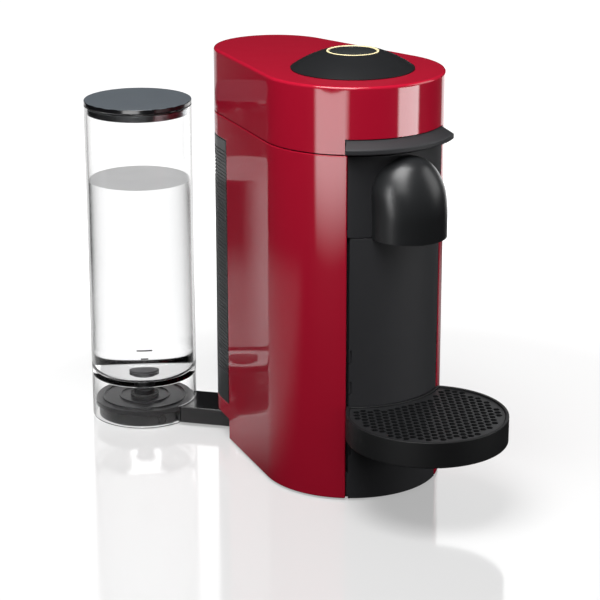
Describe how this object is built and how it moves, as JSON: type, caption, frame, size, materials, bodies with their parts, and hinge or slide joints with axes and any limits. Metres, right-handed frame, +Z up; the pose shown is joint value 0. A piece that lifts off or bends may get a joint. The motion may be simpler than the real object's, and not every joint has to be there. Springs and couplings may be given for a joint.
{
  "type": "espresso machine",
  "caption": "Capsule espresso machine with a tilting red head, a bullet-shaped spout, a height-adjustable cup support, a used-capsule container and a clear water tank on a swivel arm",
  "frame": {"origin": "on the table under the axis of the round front, in the plane of the rubber feet", "axes": "+Z up, -Y to the front where the coffee comes out, +X to the right of a viewer facing the rear from the front"},
  "size_m": [0.1897, 0.3909, 0.3306],
  "materials": {
    "red_shell": "glossy red lacquered plastic",
    "black_gloss": "glossy black plastic",
    "black_satin": "satin black plastic",
    "container_black": "ribbed black plastic",
    "button_black": "glossy black plastic",
    "lid_grey": "satin dark grey plastic",
    "clear": "clear plastic",
    "light": "translucent warm light ring",
    "chrome": "bright chrome plate",
    "dark_plastic": "moulded dark plastic",
    "steel": "plain steel",
    "drum_grey": "grey technical plastic",
    "heater_metal": "cast aluminium",
    "pump_coil": "coil casing",
    "board_green": "circuit board",
    "hose_white": "silicone hose",
    "rubber": "black rubber"
  },
  "bodies": {
    "housing": {"base_plate": "dark_plastic", "base_feet": "rubber", "swivel_pin": "steel", "body_shell": "red_shell", "cord_gland": "rubber", "front_panel": "black_satin", "spout_panel": "black_satin", "spout_cover": "black_satin", "coffee_outlet": "dark_plastic", "chassis": "dark_plastic", "base_screws": "steel", "top_deck": "dark_plastic", "hinge_pin": "steel", "hinge_sector": "steel", "brew_bowl": "dark_plastic", "drum_bearing": "steel", "drive_motor": "steel", "water_pump": "pump_coil", "pump_mounts": "rubber", "flow_meter": "dark_plastic", "heater_block": "heater_metal", "suction_hose": "hose_white", "feed_hose": "hose_white", "pressure_hose": "hose_white", "brew_hose": "hose_white", "control_board": "board_green"},
    "head": {"head_shell": "red_shell", "head_frame": "dark_plastic", "opening_motor": "dark_plastic", "injector": "dark_plastic", "lever_pin": "steel", "dome_cover": "black_satin", "light_ring": "light", "head_board": "board_green"},
    "lever": {"lever": "black_satin"},
    "button": {"brew_button": "button_black"},
    "drum": {"capsule_drum": "drum_grey", "drum_shaft": "steel"},
    "clamp": {"capsule_clamp": "steel"},
    "pinion": {"opening_pinion": "drum_grey"},
    "support": {"cup_support": "black_satin"},
    "grid": {"drip_grid": "black_satin"},
    "container": {"capsule_container": "container_black"},
    "arm": {"swivel_arm": "black_gloss", "arm_feet": "rubber", "tank_seat": "black_gloss", "seat_seal": "rubber"},
    "tank": {"water_tank": "clear", "tank_valve": "dark_plastic"},
    "lid": {"tank_lid": "lid_grey", "lid_band": "chrome", "lid_seal": "rubber"}
  },
  "joints": [
    {"name": "head_tilt", "type": "hinge", "parent": "housing", "child": "head", "pos_m": [0, 0.143, 0.272], "axis": [-1, 0, 0], "range_deg": [0, 22]},
    {"name": "pinion_spin", "type": "hinge", "parent": "head", "child": "pinion", "pos_m": [0, 0.12433, 0.29067], "axis": [-1, 0, 0], "range_deg": [0, 74.8]},
    {"name": "lever_rock", "type": "hinge", "parent": "head", "child": "lever", "pos_m": [0, -0.054, 0.2715], "axis": [1, 0, 0], "range_deg": [-1.5, 1.5], "stiffness_Nm_per_rad": 4},
    {"name": "button_press", "type": "slide", "parent": "head", "child": "button", "axis": [0, 0, -1], "range_m": [0, 0.0015], "stiffness_N_per_m": 800},
    {"name": "drum_spin", "type": "hinge", "parent": "housing", "child": "drum", "pos_m": [0, 0, 0.24], "axis": [0, 0, 1], "continuous": true},
    {"name": "clamp_spin", "type": "hinge", "parent": "head", "child": "clamp", "pos_m": [0, 0, 0.266], "axis": [0, 0, 1], "continuous": true},
    {"name": "support_height", "type": "slide", "parent": "housing", "child": "support", "axis": [0, 0, 1], "range_m": [-0.036, 0.048]},
    {"name": "grid_lift", "type": "slide", "parent": "support", "child": "grid", "axis": [0, 0, 1], "range_m": [0, 0.03]},
    {"name": "container_slide", "type": "slide", "parent": "housing", "child": "container", "axis": [0, 1, 0], "range_m": [0, 0.02]},
    {"name": "arm_swing", "type": "hinge", "parent": "housing", "child": "arm", "pos_m": [0, 0.105, 0.01], "axis": [0, 0, 1], "range_deg": [-93, 7]},
    {"name": "tank_lift", "type": "slide", "parent": "arm", "child": "tank", "axis": [0, 0, 1], "range_m": [0, 0.08]},
    {"name": "lid_lift", "type": "slide", "parent": "tank", "child": "lid", "axis": [0, 0, 1], "range_m": [0, 0.04]}
  ],
  "couplings": [
    {"joint": "pinion_spin", "follows": "head_tilt", "ratio": 3.4},
    {"joint": "clamp_spin", "follows": "drum_spin", "ratio": 1}
  ]
}
